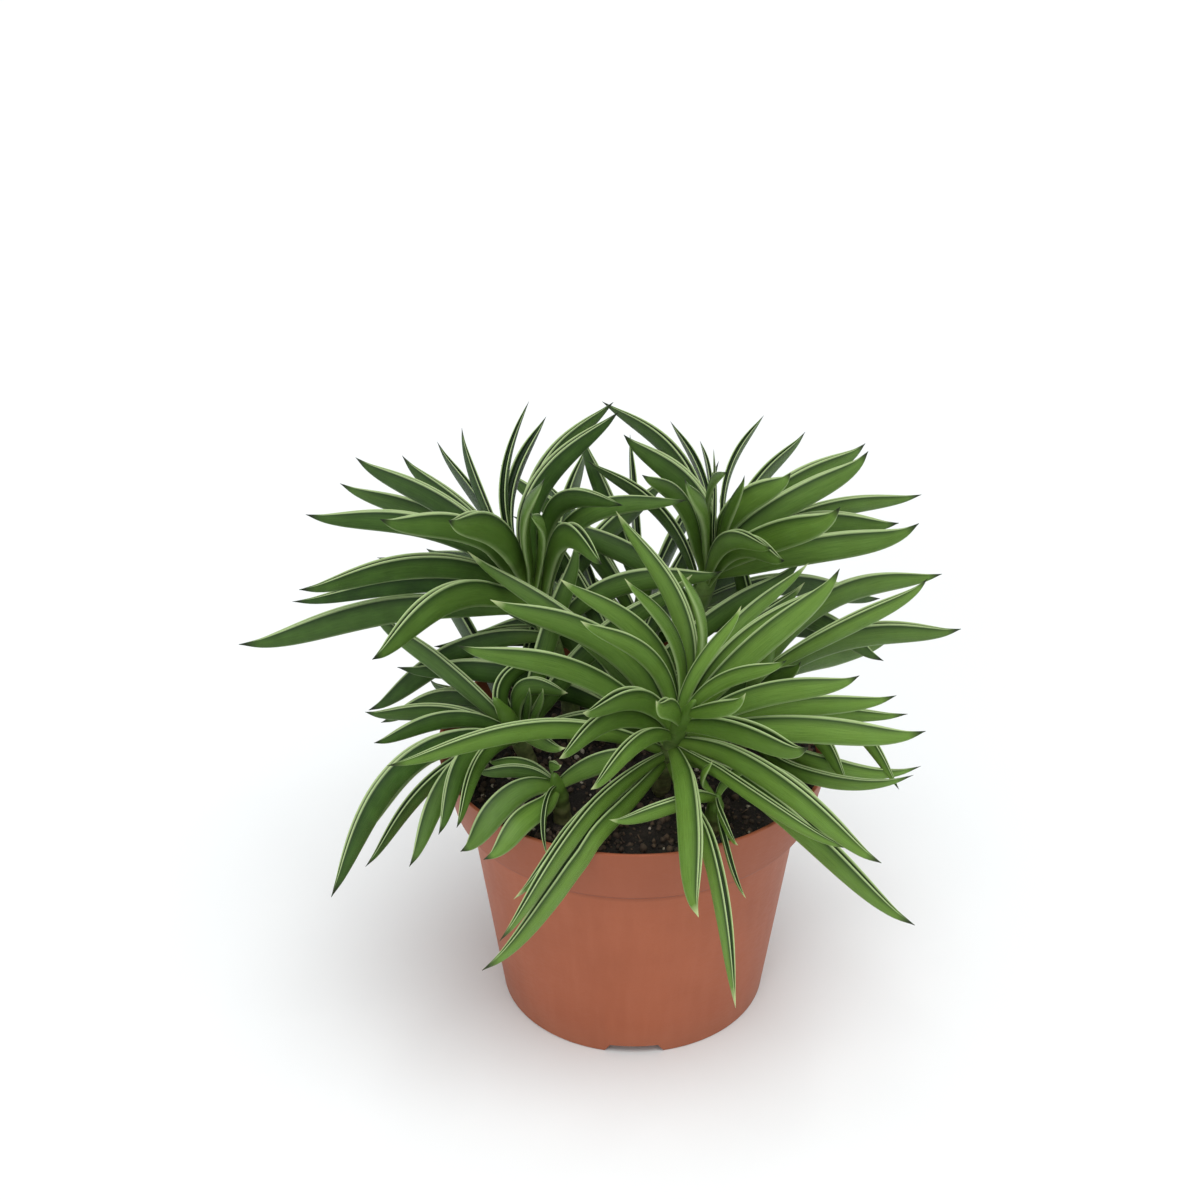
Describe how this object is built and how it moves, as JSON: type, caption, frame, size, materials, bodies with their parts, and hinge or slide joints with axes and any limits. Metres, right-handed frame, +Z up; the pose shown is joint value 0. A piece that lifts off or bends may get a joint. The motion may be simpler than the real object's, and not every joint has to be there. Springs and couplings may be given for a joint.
{
  "type": "potted peperomia",
  "caption": "Bushy houseplant with narrow folded pod-like leaves on leafy stems, in a tapered nursery pot filled with soil.",
  "frame": {"origin": "middle of the pot's underside, on the surface that the pot stands on", "axes": "+Z up along the pot's axis, -Y toward the plant's open face, +X to the right seen from the front"},
  "size_m": [0.2181, 0.2094, 0.1883],
  "materials": {
    "pot_plastic": "matt terracotta",
    "soil": "rough, crumbly",
    "leaf": "smooth, waxy"
  },
  "bodies": {
    "root": {"pot": "pot_plastic", "soil": "soil", "leafy_stem_front": "leaf", "leafy_stem_left_back": "leaf", "leafy_stem_right_back": "leaf", "leafy_stem_right": "leaf", "leafy_stem_left_low": "leaf", "leafy_stem_back": "leaf", "leafy_stem_middle": "leaf", "young_shoot_right": "leaf", "young_shoot_left": "leaf"}
  },
  "joints": []
}
